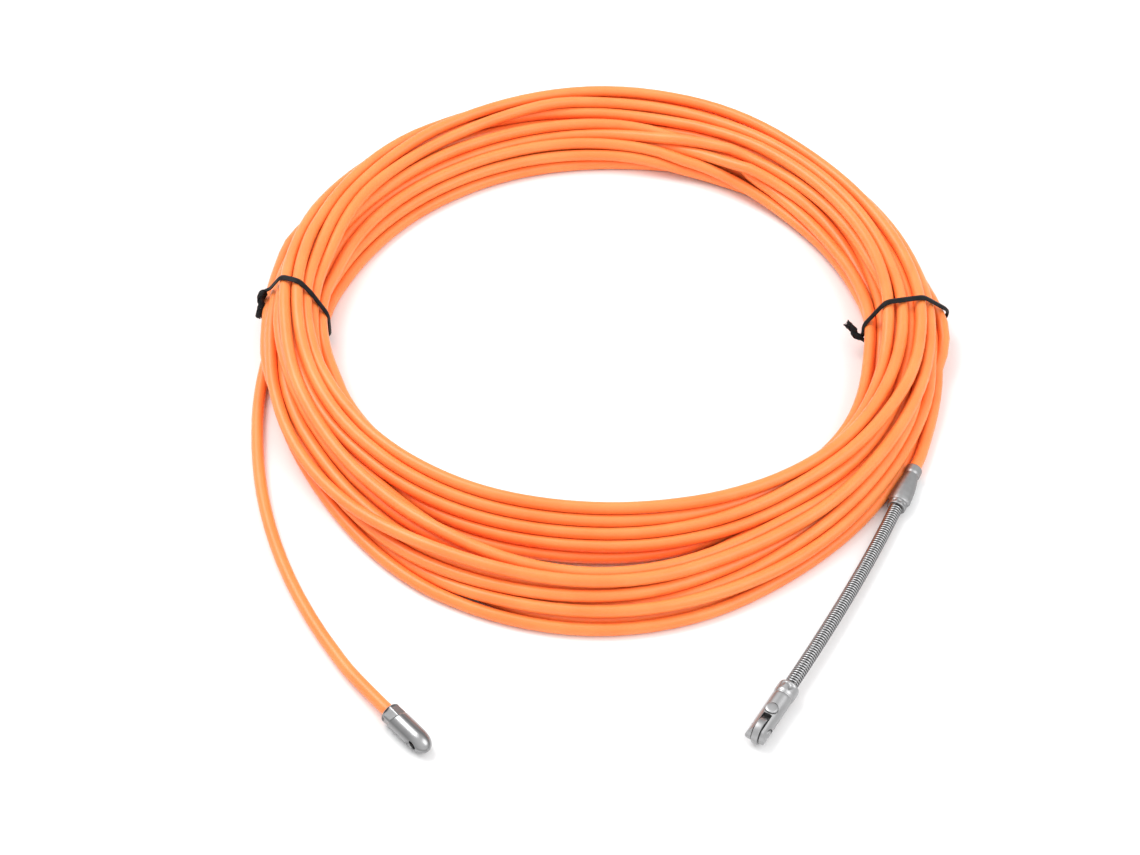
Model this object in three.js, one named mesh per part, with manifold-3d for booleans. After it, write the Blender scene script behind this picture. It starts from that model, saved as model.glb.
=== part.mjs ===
// Fish tape for pulling cables through conduit: a bare coil of round polyamide tape held by two
// twist ties, with a crimped pulling eyelet on one end and, on the other, a crimped ferrule, a
// bendable guide spring and a roller head.
// Millimetres, +Z up. The object lies flat on the plane Z = 0, as it is stored.

import * as THREE from 'three';
import { mergeVertices } from 'three/addons/utils/BufferGeometryUtils.js';
import Module from 'manifold-3d';

// ---------------------------------------------------------------- driving dimensions

const FIT = 0.3; // clearance between pieces that touch on the real object

// Tape and its coil. The coil is slim where the ties hold it and spreads between them.
const TAPE_D = 4.0;
const TAPE_SIDES = 8;
const COIL_RADIUS = 103.5; // from the coil's axis to the middle of the bundle at a tie
const TIED_WIDTH = 23;
const TIED_HEIGHT = 19;
// Midway between the ties, behind and in front of them. A higher power keeps the bundle slim
// for longer beside the ties.
const BACK = { outward: 4, width: 28, height: 17, power: 4 };
const FRONT = { outward: 0, width: 40, height: 14.5, power: 6 };
const BUNDLE_SQUARENESS = 2.8; // exponent of the superellipse that the bundle's section follows
const COIL_SEGMENTS = 72;
const SECTION_POINTS = 16;

// Twist ties: a flat sheath over a soft steel wire, wound once round the bundle.
const RIGHT_TIE_ANGLE = 2; // degrees round the coil
const LEFT_TIE_ANGLE = 174.5;
const TIE_WIDTH = 2.2;
const TIE_THICKNESS = 1.2;
const TIE_WIRE_D = 0.5;
const TIE_BORE_D = 0.7;
const TIE_TWIST_PITCH = 9;
const TIE_STEPS = 78;
const TIE_LIFT_SPAN = 14; // degrees each side of a tie over which the bundle rises to clear it

// Free ends of the tape: angle round the coil in degrees, distance beyond the tied bundle's outer
// edge, and height of the tape above where it lies.
const EYELET_TAIL = [[180, -3, 0], [-175, -1.2, 0], [-168, 1.7, 0], [-158.7, 6.4, 0],
  [-146.3, 15.2, 0], [-135.1, 25.4, 0], [-124.8, 36.7, 0], [-118.5, 44.7, 0.4]];
const EYELET_ENTRY = [-112.3, 53.1];
const EYELET_HEADING = -48.5;
const LEADER_TAIL = [[3, -2.3, 6.5], [-3, -0.9, 5.6], [-9, 0.1, 3.8], [-15, 0.5, 2.2],
  [-20.5, 1, 1.3]];
const LEADER_ENTRY = [-29.2, 2.5];
const LEADER_HEADING = -114;

// Pulling eyelet: a round-nosed sleeve crimped on the tape, with an eye across its nose.
const EYELET_WALL = 1.1;
const EYELET_LENGTH = 18.4;
const EYELET_SOCKET_DEPTH = 8;
const EYE_D = 3.0;
const EYE_FROM_NOSE = 4.6;
const CRIMP_LENGTH = 4.2;
const CRIMP_FLAT_DEPTH = 0.45;

// Ferrule that joins the tape to the guide spring.
const FERRULE_COLLAR_WALL = 0.45;
const FERRULE_COLLAR_LENGTH = 3.0;
const FERRULE_BODY_WALL = 0.85;
const FERRULE_LENGTH = 18.4;
const FERRULE_SOCKET_DEPTH = 8.5;

// Guide spring and the steel core inside it, which carries the pull.
const SPRING_D = 4.55;
const SPRING_WIRE_D = 0.8;
const SPRING_TURNS = 92;
const SPRING_SPAN = 87.6;
const SPRING_HEADING = -118; // of the line between the spring's ends
const SPRING_SEAT_DEPTH = 3.6;
const SPRING_STEPS_PER_TURN = 7;
const CORE_D = 1.2;
const CORE_GRIP = 5; // how far the core runs past the spring into each fitting

// Roller head: a clevis with a wheel that leads the tape round bends.
const HEAD_HEADING = -121;
const HEAD_WALL = 0.62; // round the spring's seat
const HEAD_SHOULDER_RISE = 0.2;
const AXLE_FROM_SHOULDER = 19.3;
const WHEEL_D = 8.2;
const WHEEL_WIDTH = 2.1;
const WHEEL_SIDE_CLEARANCE = 0.35;
const WHEEL_RIM_CLEARANCE = 0.7;
const AXLE_D = 1.8;
const AXLE_HEAD_D = 3.0;
const AXLE_HEAD_THICKNESS = 0.5;
const AXLE_RUNNING_CLEARANCE = 0.08;
const RIVET_D = 2.0;
const RIVET_HEAD_D = 3.9;
const RIVET_HEAD_HEIGHT = 0.9;
const RIVET_FROM_SLOT = 0.35; // from the rivet head's edge to the slot

// ---------------------------------------------------------------- materials

const metal = (color, roughness) => new THREE.MeshStandardMaterial({ color, roughness, metalness: 1 });
const plastic = (color, roughness) => new THREE.MeshStandardMaterial({ color, roughness, metalness: 0 });
const TAPE_ORANGE = plastic(0xff8a4c, 0.4);
const TIE_BLACK = plastic(0x141414, 0.5);
const BRIGHT_STEEL = metal(0xc8cacc, 0.25);
const SPRING_STEEL = metal(0xa9abae, 0.35);
const WIRE_STEEL = metal(0x9a9c9f, 0.45);

// ---------------------------------------------------------------- helpers

const wasm = await Module();
wasm.setup();

const group = new THREE.Group();
const radians = THREE.MathUtils.degToRad;

function addMesh(parent, name, geometry, material) {
  const mesh = new THREE.Mesh(geometry, material);
  mesh.name = name;
  parent.add(mesh);
  return mesh;
}

function toSolid(geometry) {
  const bare = geometry.clone();
  bare.deleteAttribute('normal');
  bare.deleteAttribute('uv');
  const merged = mergeVertices(bare, 1e-4);
  return new wasm.Manifold(new wasm.Mesh({
    numProp: 3,
    vertProperties: new Float32Array(merged.attributes.position.array),
    triVerts: new Uint32Array(merged.index.array),
  }));
}

function toGeometry(solid) {
  const mesh = solid.getMesh();
  const geometry = new THREE.BufferGeometry();
  geometry.setAttribute('position', new THREE.BufferAttribute(mesh.vertProperties, 3));
  geometry.setIndex(new THREE.BufferAttribute(mesh.triVerts, 1));
  geometry.computeVertexNormals();
  return geometry;
}

// A body of revolution about the local X axis, from [x, radius] pairs that run along the outside
// with x rising.
function turned(profile, segments) {
  const points = profile.map(([x, radius]) => new THREE.Vector2(radius, x));
  return new THREE.LatheGeometry(points, segments).rotateZ(-Math.PI / 2);
}

function rodAlong(axis, diameter, length, segments = 16) {
  const rod = new THREE.CylinderGeometry(diameter / 2, diameter / 2, length, segments);
  if (axis === 'z') rod.rotateX(Math.PI / 2);
  return rod;
}

function polygon(radiusX, radiusY, sides) {
  return Array.from({ length: sides }, (_, i) => {
    const angle = (2 * Math.PI * (i + 0.5)) / sides;
    return new THREE.Vector2(radiusX * Math.cos(angle), radiusY * Math.sin(angle));
  });
}

function sweep(curve, shape, steps) {
  return new THREE.ExtrudeGeometry(shape, { steps, extrudePath: curve });
}

// A point given by its angle round the coil and its distance beyond the tied bundle's outer edge.
function aroundCoil([angle, beyond], z) {
  const radius = COIL_RADIUS + TIED_WIDTH / 2 + beyond;
  return new THREE.Vector3(radius * Math.cos(radians(angle)), radius * Math.sin(radians(angle)), z);
}

function headingVector(degrees) {
  return new THREE.Vector3(Math.cos(radians(degrees)), Math.sin(radians(degrees)), 0);
}

// ---------------------------------------------------------------- coil

// How far round from one tie to the other an angle is: 0 at the ties, 1 midway between them.
function spread(angle) {
  const turn = THREE.MathUtils.euclideanModulo(angle - RIGHT_TIE_ANGLE, 360);
  const backSpan = LEFT_TIE_ANGLE - RIGHT_TIE_ANGLE;
  const behind = turn <= backSpan;
  const share = behind ? turn / backSpan : (turn - backSpan) / (360 - backSpan);
  const middle = behind ? BACK : FRONT;
  return { amount: Math.sin(Math.PI * share) ** middle.power, middle };
}

// The tie passes under the bundle, so the bundle rises a little over each tie.
function tieLift(angle) {
  const lifts = [RIGHT_TIE_ANGLE, LEFT_TIE_ANGLE].map((tie) => {
    const away = Math.abs(THREE.MathUtils.euclideanModulo(angle - tie + 180, 360) - 180);
    return away < TIE_LIFT_SPAN ? Math.cos((Math.PI / 2) * (away / TIE_LIFT_SPAN)) ** 2 : 0;
  });
  return Math.max(...lifts) * (TIE_THICKNESS + 2 * FIT);
}

function bundleAt(angle) {
  const { amount, middle } = spread(angle);
  return {
    radius: COIL_RADIUS + amount * middle.outward,
    halfWidth: THREE.MathUtils.lerp(TIED_WIDTH, middle.width, amount) / 2,
    height: THREE.MathUtils.lerp(TIED_HEIGHT, middle.height, amount),
    lift: tieLift(angle),
  };
}

// Unit section of the bundle: a superellipse with its lowest part cut flat where it rests.
function unitSection(angle) {
  const power = 2 / BUNDLE_SQUARENESS;
  const flatLevel = -0.94;
  const across = Math.sign(Math.cos(angle)) * Math.abs(Math.cos(angle)) ** power;
  const up = Math.sign(Math.sin(angle)) * Math.abs(Math.sin(angle)) ** power;
  return { across, up: (Math.max(up, flatLevel) - flatLevel) / (1 - flatLevel) };
}

function coilGeometry(grow) {
  const farOut = 10; // keeps the unit section clear of the axis while it is turned
  const profile = Array.from({ length: SECTION_POINTS + 1 }, (_, i) => {
    const { across, up } = unitSection((2 * Math.PI * (i % SECTION_POINTS)) / SECTION_POINTS);
    return new THREE.Vector2(farOut + across, up);
  });
  const geometry = new THREE.LatheGeometry(profile, COIL_SEGMENTS).rotateX(Math.PI / 2);
  const position = geometry.attributes.position;
  for (let i = 0; i < position.count; i += 1) {
    const angle = Math.atan2(position.getY(i), position.getX(i));
    const across = Math.hypot(position.getX(i), position.getY(i)) - farOut;
    const bundle = bundleAt(THREE.MathUtils.radToDeg(angle));
    const radius = bundle.radius + across * (bundle.halfWidth + grow);
    const up = position.getZ(i) * (bundle.height + 2 * grow) + bundle.lift - grow;
    position.setXYZ(i, radius * Math.cos(angle), radius * Math.sin(angle), up);
  }
  geometry.computeVertexNormals();
  return geometry;
}

// ---------------------------------------------------------------- free ends of the tape

// The tail leaves the side of the bundle, so what would lie within the bundle is cut away.
function tailGeometry(points, entry, heading, depth) {
  const intoSocket = headingVector(heading).multiplyScalar(depth - FIT);
  const beforeSocket = headingVector(heading).multiplyScalar(-TAPE_D * 1.5);
  const route = [...points, entry.clone().add(beforeSocket), entry, entry.clone().add(intoSocket)];
  const curve = new THREE.CatmullRomCurve3(route, false, 'centripetal');
  const shape = new THREE.Shape(polygon(TAPE_D / 2, TAPE_D / 2, TAPE_SIDES));
  const steps = Math.round(curve.getLength() / (TAPE_D * 2));
  return toGeometry(toSolid(sweep(curve, shape, steps)).subtract(toSolid(coilGeometry(FIT))));
}

const tapeBore = TAPE_D / 2 + FIT; // radius of the sockets that the tape's ends sit in
const eyeletRadius = tapeBore + EYELET_WALL;
const ferruleRadius = tapeBore + FERRULE_BODY_WALL;
const eyeletEntry = aroundCoil(EYELET_ENTRY, eyeletRadius);
const leaderEntry = aroundCoil(LEADER_ENTRY, ferruleRadius);

function makeTape() {
  addMesh(group, 'tape_coil', coilGeometry(0), TAPE_ORANGE);
  const tailPoints = (tail) => tail.map((point) => aroundCoil(point, TAPE_D / 2 + point[2]));
  addMesh(group, 'tape_tail_eyelet',
    tailGeometry(tailPoints(EYELET_TAIL), eyeletEntry, EYELET_HEADING, EYELET_SOCKET_DEPTH), TAPE_ORANGE);
  addMesh(group, 'tape_tail_leader',
    tailGeometry(tailPoints(LEADER_TAIL), leaderEntry, LEADER_HEADING, FERRULE_SOCKET_DEPTH), TAPE_ORANGE);
}

// ---------------------------------------------------------------- twist ties

// A tie's centre line. Its frames are carried both ways from the far side of the loop, where the
// flat of the sheath lies on the bundle.
class TieCurve extends THREE.CatmullRomCurve3 {
  constructor(points, flatDirection) {
    super(points, false, 'centripetal');
    this.flatDirection = flatDirection;
  }

  computeFrenetFrames(segments) {
    const tangents = Array.from({ length: segments + 1 }, (_, i) => this.getTangentAt(i / segments));
    const binormals = [];
    const middle = Math.round(segments / 2);
    const carry = (from, i) => from.clone().projectOnPlane(tangents[i]).normalize();
    binormals[middle] = carry(this.flatDirection, middle);
    for (let i = middle + 1; i <= segments; i += 1) binormals[i] = carry(binormals[i - 1], i);
    for (let i = middle - 1; i >= 0; i -= 1) binormals[i] = carry(binormals[i + 1], i);
    const normals = binormals.map((binormal, i) => binormal.clone().cross(tangents[i]));
    return { tangents, normals, binormals };
  }
}

// One tie goes from its first end, along the twist, once round the bundle and back along the
// twist. skew is how far the tie slants along the coil as it goes outward. meet is where on the
// section its ends meet (0 outside, 90 on top, 180 inside), and tail is the direction of the
// twisted ends as [outward, along the coil, up].
function tiePath({ angle, skew, meet, tail, tailLength }) {
  const outward = headingVector(angle);
  const along = new THREE.Vector3(-outward.y, outward.x, 0);
  const up = new THREE.Vector3(0, 0, 1);
  const bundle = bundleAt(angle);
  const off = FIT + TIE_THICKNESS / 2;
  const onSection = (degrees, extra) => {
    const { across, up: rise } = unitSection(radians(degrees));
    const radius = bundle.radius + across * (bundle.halfWidth + off + extra);
    const z = bundle.lift - off + rise * (bundle.height + 2 * off) + extra * Math.sin(radians(degrees));
    return outward.clone().multiplyScalar(radius)
      .addScaledVector(along, skew * (radius - bundle.radius)).setZ(z);
  };
  const direction = outward.clone().multiplyScalar(tail[0])
    .addScaledVector(along, tail[1]).addScaledVector(up, tail[2]).normalize();
  const strandOffset = TIE_WIDTH / 2 + 0.15;
  const apart = 16; // degrees on the section from the meeting point to where each strand leaves it
  const first = onSection(meet + apart, 0);
  const last = onSection(meet - apart, 0);
  const side = first.clone().sub(last).projectOnPlane(direction).normalize();
  const other = direction.clone().cross(side);
  const root = onSection(meet, TIE_WIDTH);
  const strand = (distance, sign) => {
    const twist = (2 * Math.PI * distance) / TIE_TWIST_PITCH;
    return root.clone().addScaledVector(direction, distance)
      .addScaledVector(side, sign * strandOffset * Math.cos(twist))
      .addScaledVector(other, sign * strandOffset * Math.sin(twist));
  };
  const twistPoints = [0.2, 0.4, 0.6, 0.8, 1].map((share) => share * tailLength);
  const loopPoints = Array.from({ length: 19 }, (_, i) => {
    const degrees = THREE.MathUtils.lerp(meet + apart, meet + 360 - apart, i / 18);
    return onSection(degrees, 0);
  });
  return new TieCurve([
    ...twistPoints.map((distance) => strand(distance, 1)).reverse(),
    ...loopPoints,
    ...twistPoints.map((distance) => strand(distance, -1)),
  ], along);
}

function makeTie(name, placement) {
  const path = tiePath(placement);
  const sheath = new THREE.Shape(polygon(TIE_THICKNESS / 2, TIE_WIDTH / 2, 6));
  sheath.holes.push(new THREE.Path(polygon(TIE_BORE_D / 2, TIE_BORE_D / 2, 4)));
  const wire = new THREE.Shape(polygon(TIE_WIRE_D / 2, TIE_WIRE_D / 2, 4));
  addMesh(group, `${name}_sheath`, sweep(path, sheath, TIE_STEPS), TIE_BLACK);
  addMesh(group, `${name}_wire`, sweep(path, wire, TIE_STEPS), WIRE_STEEL);
}

// ---------------------------------------------------------------- eyelet

function makeEyelet() {
  const radius = eyeletRadius;
  const shoulder = EYELET_LENGTH - radius;
  const nose = [70, 50, 30, 10].map((degrees) => [
    shoulder + radius * Math.cos(radians(degrees)),
    radius * Math.sin(radians(degrees)),
  ]);
  let solid = toSolid(turned([[EYELET_SOCKET_DEPTH, 0], [EYELET_SOCKET_DEPTH, tapeBore], [0, tapeBore],
    [0, radius - 0.6], [0.6, radius - 0.1], [1, radius], [shoulder, radius], ...nose,
    [EYELET_LENGTH, 0]], 20));
  const eye = rodAlong('y', EYE_D, radius * 4, 16).translate(EYELET_LENGTH - EYE_FROM_NOSE, 0, 0);
  solid = solid.subtract(toSolid(eye));
  for (const side of [1, -1]) {
    const jaw = new THREE.BoxGeometry(CRIMP_LENGTH, radius * 4, radius * 2)
      .rotateX(radians(20))
      .translate(CRIMP_LENGTH / 2 + 1, 0, 0);
    const reach = side * (2 * radius - CRIMP_FLAT_DEPTH);
    jaw.translate(0, -reach * Math.sin(radians(20)), reach * Math.cos(radians(20)));
    solid = solid.subtract(toSolid(jaw));
  }
  const mesh = addMesh(group, 'eyelet_tip', toGeometry(solid), BRIGHT_STEEL);
  mesh.position.copy(eyeletEntry);
  mesh.rotation.z = radians(EYELET_HEADING);
}

// ---------------------------------------------------------------- leader: ferrule, spring, core

const springSeatD = SPRING_D + 2 * FIT;
const coreBoreD = CORE_D + 2 * FIT;
const springInset = SPRING_SEAT_DEPTH - FIT - SPRING_WIRE_D / 2; // from a seat's mouth to the wire's end
const headRadius = springSeatD / 2 + HEAD_WALL;
const shoulderRadius = headRadius + HEAD_SHOULDER_RISE;
const headHeight = Math.max(WHEEL_D / 2, shoulderRadius);
const springStart = leaderEntry.clone()
  .addScaledVector(headingVector(LEADER_HEADING), FERRULE_LENGTH - springInset);
const springEnd = springStart.clone()
  .addScaledVector(headingVector(SPRING_HEADING), SPRING_SPAN)
  .setZ(headHeight);
const headStart = springEnd.clone().addScaledVector(headingVector(HEAD_HEADING), -springInset);

function makeFerrule() {
  const seat = FERRULE_LENGTH - SPRING_SEAT_DEPTH;
  const collar = tapeBore + FERRULE_COLLAR_WALL;
  const body = ferruleRadius;
  const lip = springSeatD / 2 + 0.35;
  const profile = [[seat, coreBoreD / 2], [FERRULE_SOCKET_DEPTH, coreBoreD / 2],
    [FERRULE_SOCKET_DEPTH, tapeBore], [0, tapeBore], [0, collar - 0.25], [0.4, collar],
    [FERRULE_COLLAR_LENGTH, collar], [FERRULE_COLLAR_LENGTH + 0.3, collar - 0.15],
    [FERRULE_COLLAR_LENGTH + 3, body - 0.2], [FERRULE_LENGTH * 0.55, body],
    [FERRULE_LENGTH * 0.75, body - 0.15], [FERRULE_LENGTH - 1, lip], [FERRULE_LENGTH, lip - 0.1],
    [FERRULE_LENGTH, springSeatD / 2], [seat, springSeatD / 2], [seat, coreBoreD / 2]];
  const mesh = addMesh(group, 'leader_ferrule', turned(profile, 16), BRIGHT_STEEL);
  mesh.position.copy(leaderEntry);
  mesh.rotation.z = radians(LEADER_HEADING);
}

// The spring's centre line leaves the ferrule and enters the head straight.
const springAxis = (() => {
  const third = springStart.distanceTo(springEnd) / 3;
  return new THREE.CubicBezierCurve3(
    springStart,
    springStart.clone().addScaledVector(headingVector(LEADER_HEADING), third),
    springEnd.clone().addScaledVector(headingVector(HEAD_HEADING), -third),
    springEnd,
  );
})();

class SpringCurve extends THREE.Curve {
  getPoint(share, target = new THREE.Vector3()) {
    const tangent = springAxis.getTangentAt(share);
    const side = tangent.clone().cross(new THREE.Vector3(0, 0, 1)).normalize();
    const over = side.clone().cross(tangent);
    const angle = 2 * Math.PI * SPRING_TURNS * share;
    const radius = (SPRING_D - SPRING_WIRE_D) / 2;
    return target.copy(springAxis.getPointAt(share))
      .addScaledVector(side, radius * Math.cos(angle))
      .addScaledVector(over, radius * Math.sin(angle));
  }
}

function makeSpringAndCore() {
  const wire = new THREE.Shape(polygon(SPRING_WIRE_D / 2, SPRING_WIRE_D / 2, 4));
  const steps = SPRING_TURNS * SPRING_STEPS_PER_TURN;
  addMesh(group, 'guide_spring', sweep(new SpringCurve(), wire, steps), SPRING_STEEL);
  const back = springStart.clone().addScaledVector(headingVector(LEADER_HEADING), -CORE_GRIP);
  const front = springEnd.clone().addScaledVector(headingVector(HEAD_HEADING), CORE_GRIP);
  const route = [back, ...springAxis.getSpacedPoints(8), front];
  const core = new THREE.Shape(polygon(CORE_D / 2, CORE_D / 2, 6));
  const path = new THREE.CatmullRomCurve3(route, false, 'centripetal');
  addMesh(group, 'spring_core_cable', sweep(path, core, 30), WIRE_STEEL);
}

// ---------------------------------------------------------------- roller head

function makeHead() {
  const head = new THREE.Group();
  head.position.copy(headStart);
  head.rotation.z = radians(HEAD_HEADING);
  group.add(head);

  const radius = headRadius;
  const shoulder = shoulderRadius;
  const seat = springSeatD / 2;
  const slotFromAxle = WHEEL_D / 2 + WHEEL_RIM_CLEARANCE;
  const slotWidth = WHEEL_WIDTH + 2 * WHEEL_SIDE_CLEARANCE;
  const rivetX = AXLE_FROM_SHOULDER - slotFromAxle - RIVET_FROM_SLOT - RIVET_HEAD_D / 2;
  const coreEnd = springInset + CORE_GRIP + FIT;
  const nose = [75, 60, 45, 30, 15].map((degrees) => [
    AXLE_FROM_SHOULDER + radius * Math.cos(radians(degrees)),
    radius * Math.sin(radians(degrees)),
  ]);
  let body = toSolid(turned([[coreEnd, 0], [coreEnd, coreBoreD / 2], [SPRING_SEAT_DEPTH, coreBoreD / 2],
    [SPRING_SEAT_DEPTH, seat], [0, seat], [0, seat + 0.25], [0.8, shoulder - 0.25],
    [2, shoulder], [4, shoulder - 0.1], [4.8, radius - 0.15], [5.4, radius], [AXLE_FROM_SHOULDER, radius],
    ...nose, [AXLE_FROM_SHOULDER + radius, 0]], 20));
  const through = radius * 4; // longer than the head is thick
  const slotLength = slotFromAxle + through;
  const slot = new THREE.BoxGeometry(slotLength, slotWidth, through)
    .translate(AXLE_FROM_SHOULDER - slotFromAxle + slotLength / 2, 0, 0);
  body = body.subtract(toSolid(slot));

  const axleBore = rodAlong('y', AXLE_D + 2 * FIT, through, 16).translate(AXLE_FROM_SHOULDER, 0, 0);
  body = body.subtract(toSolid(axleBore));
  const axleSeat = radius - AXLE_HEAD_THICKNESS - 0.2; // floor of the recess under each axle head
  for (const side of [1, -1]) {
    const recess = rodAlong('y', AXLE_HEAD_D + 2 * FIT, through, 16)
      .translate(AXLE_FROM_SHOULDER, side * (axleSeat + through / 2), 0);
    body = body.subtract(toSolid(recess));
  }
  const rivetSeat = Math.sqrt(radius ** 2 - (RIVET_HEAD_D / 2 + FIT) ** 2);
  const rivetBore = rodAlong('z', RIVET_D + 2 * FIT, through, 12).translate(rivetX, 0, 0);
  const rivetRecess = rodAlong('z', RIVET_HEAD_D + 2 * FIT, through, 16)
    .translate(rivetX, 0, rivetSeat + through / 2);
  body = body.subtract(toSolid(rivetBore)).subtract(toSolid(rivetRecess));
  addMesh(head, 'roller_head', toGeometry(body), BRIGHT_STEEL);

  makeRivet(head, rivetX, rivetSeat + FIT, radius);
  makeAxle(head, axleSeat + FIT);
  makeWheel(head);
}

// The rivet closes the head on the core: a shank with a domed head on top.
function makeRivet(head, x, headLevel, radius) {
  const shank = RIVET_D / 2;
  const dome = RIVET_HEAD_D / 2;
  const profile = [[-radius + 0.4, 0], [-radius + 0.4, shank], [headLevel, shank], [headLevel, dome],
    [headLevel + 0.25, dome], [headLevel + 0.6, dome * 0.75], [headLevel + RIVET_HEAD_HEIGHT, dome * 0.35],
    [headLevel + RIVET_HEAD_HEIGHT + 0.05, 0]];
  const rivet = addMesh(head, 'core_rivet', turned(profile, 16), BRIGHT_STEEL);
  rivet.position.x = x;
  rivet.rotation.y = -Math.PI / 2;
}

function makeAxle(head, headLevel) {
  const shank = AXLE_D / 2;
  const cap = AXLE_HEAD_D / 2;
  const end = headLevel + AXLE_HEAD_THICKNESS;
  const half = [[headLevel, shank], [headLevel, cap], [end - 0.2, cap], [end, cap - 0.4], [end, 0]];
  const mirrored = half.map(([x, r]) => [-x, r]).reverse();
  const axle = addMesh(head, 'roller_axle', turned([...mirrored, ...half], 24), SPRING_STEEL);
  axle.position.x = AXLE_FROM_SHOULDER;
  axle.rotation.z = Math.PI / 2;
}

function makeWheel(head) {
  const bore = AXLE_D / 2 + AXLE_RUNNING_CLEARANCE;
  const rim = WHEEL_D / 2;
  const half = WHEEL_WIDTH / 2;
  const chamfer = 0.25;
  const profile = [[-half, bore], [-half, rim - chamfer], [-half + chamfer, rim], [half - chamfer, rim],
    [half, rim - chamfer], [half, bore], [-half, bore]];
  const wheel = addMesh(head, 'roller_wheel', turned(profile, 32), BRIGHT_STEEL);
  wheel.position.x = AXLE_FROM_SHOULDER;
  wheel.rotation.z = Math.PI / 2;
}

// ---------------------------------------------------------------- assembly

makeTape();
makeTie('tie_left', {
  angle: LEFT_TIE_ANGLE, skew: -0.3, meet: 20, tail: [0.15, 0.75, -0.65], tailLength: 9,
});
makeTie('tie_right', {
  angle: RIGHT_TIE_ANGLE, skew: 0.25, meet: 195, tail: [-0.7, 0.5, 0.5], tailLength: 7,
});
makeEyelet();
makeFerrule();
makeSpringAndCore();
makeHead();

// The origin is the middle of the whole object's footprint, on the plane that it lies on.
const footprint = new THREE.Box3().setFromObject(group).getCenter(new THREE.Vector3());
group.position.set(-footprint.x, -footprint.y, 0);

export default group;
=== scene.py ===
"""A coil of round orange nylon fish tape, 15 m of it, held by two black twist ties, with a bullet-nosed
eyelet tip on one end and a steel guide spring with a small roller head on the other."""

import math

import bmesh
import bpy
import numpy as np
from mathutils import Matrix, Vector
from mathutils.geometry import convex_hull_2d


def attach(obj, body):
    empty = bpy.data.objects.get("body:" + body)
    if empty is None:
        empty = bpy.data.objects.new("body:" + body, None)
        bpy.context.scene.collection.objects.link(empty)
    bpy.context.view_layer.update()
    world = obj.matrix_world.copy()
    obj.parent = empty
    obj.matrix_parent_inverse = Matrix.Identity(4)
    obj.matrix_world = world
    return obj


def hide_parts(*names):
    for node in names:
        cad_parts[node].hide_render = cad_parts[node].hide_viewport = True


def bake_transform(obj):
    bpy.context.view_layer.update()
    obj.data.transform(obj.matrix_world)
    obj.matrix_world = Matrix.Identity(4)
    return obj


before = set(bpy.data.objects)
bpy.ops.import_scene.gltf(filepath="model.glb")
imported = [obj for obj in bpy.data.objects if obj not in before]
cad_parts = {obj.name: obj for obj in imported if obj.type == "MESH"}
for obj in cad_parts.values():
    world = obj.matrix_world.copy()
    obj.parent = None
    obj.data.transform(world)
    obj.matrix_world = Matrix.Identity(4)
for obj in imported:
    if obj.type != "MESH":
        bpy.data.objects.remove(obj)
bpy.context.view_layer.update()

MM = 0.001
TAU = 2 * math.pi

# ---------------------------------------------------------------- camera
camera_data = bpy.data.cameras.new("camera")
camera_data.sensor_width = 36.0
camera_data.lens = 78.95
camera_data.clip_start = 0.01
camera = bpy.data.objects.new("camera", camera_data)
camera.location = (-0.00797, -0.57900, 0.60946)
camera.rotation_euler = (math.radians(43.0), 0.0, 0.0)
bpy.context.scene.collection.objects.link(camera)
bpy.context.scene.camera = camera

# ---------------------------------------------------------------- the coil of tape (mm until it is built)
TAPE_D = 4.0
TAPE_R = TAPE_D / 2
COIL_CENTRE = np.array([1.829, 25.0373])
COIL_RADIUS, BUNDLE_EDGE = 103.5, 115.0  # from the coil's centre to the bundle's middle and outer edge
STATIONS = 120  # places round each turn where the strands settle
STEP = 360 / STATIONS
LEFT_TIE, RIGHT_TIE = 174.5, 2.0  # degrees round the coil
TIE_LIFT, TIE_LIFT_SPAN = 1.8, 14  # the bundle's rise over a tie, and its reach each way in degrees

# the tails' points: angle, beyond the tied bundle's outer edge, height above lying
EYELET_TAIL = [[180, -3, 0], [-175, -1.2, 0], [-168, 1.7, 0], [-158.7, 6.4, 0],
               [-146.3, 15.2, 0], [-135.1, 25.4, 0], [-124.8, 36.7, 0], [-118.5, 44.7, 0.4]]
EYELET_ENTRY, EYELET_HEADING, EYELET_R = (-112.3, 53.1), -48.5, 3.4
LEADER_TAIL = [[3, -2.3, 6.5], [-3, -0.9, 5.6], [-9, 0.1, 3.8], [-15, 0.5, 2.2], [-20.5, 1, 1.3]]
LEADER_ENTRY, LEADER_HEADING, FERRULE_R = (-29.2, 2.5), -114, 3.15
EYELET_SOCKET, FERRULE_SOCKET, FIT = 8.0, 8.5, 0.3
LEAD_IN, END_SPACING = 1.5 * TAPE_D, 2.5  # straight tape outside a fitting, and between points at the ends
# of the coil's last stations, this many at most, those nearer than this to the ferrule's mouth are dropped
LEADER_STATIONS, LEADER_ROOM = 12, 9.0

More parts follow.
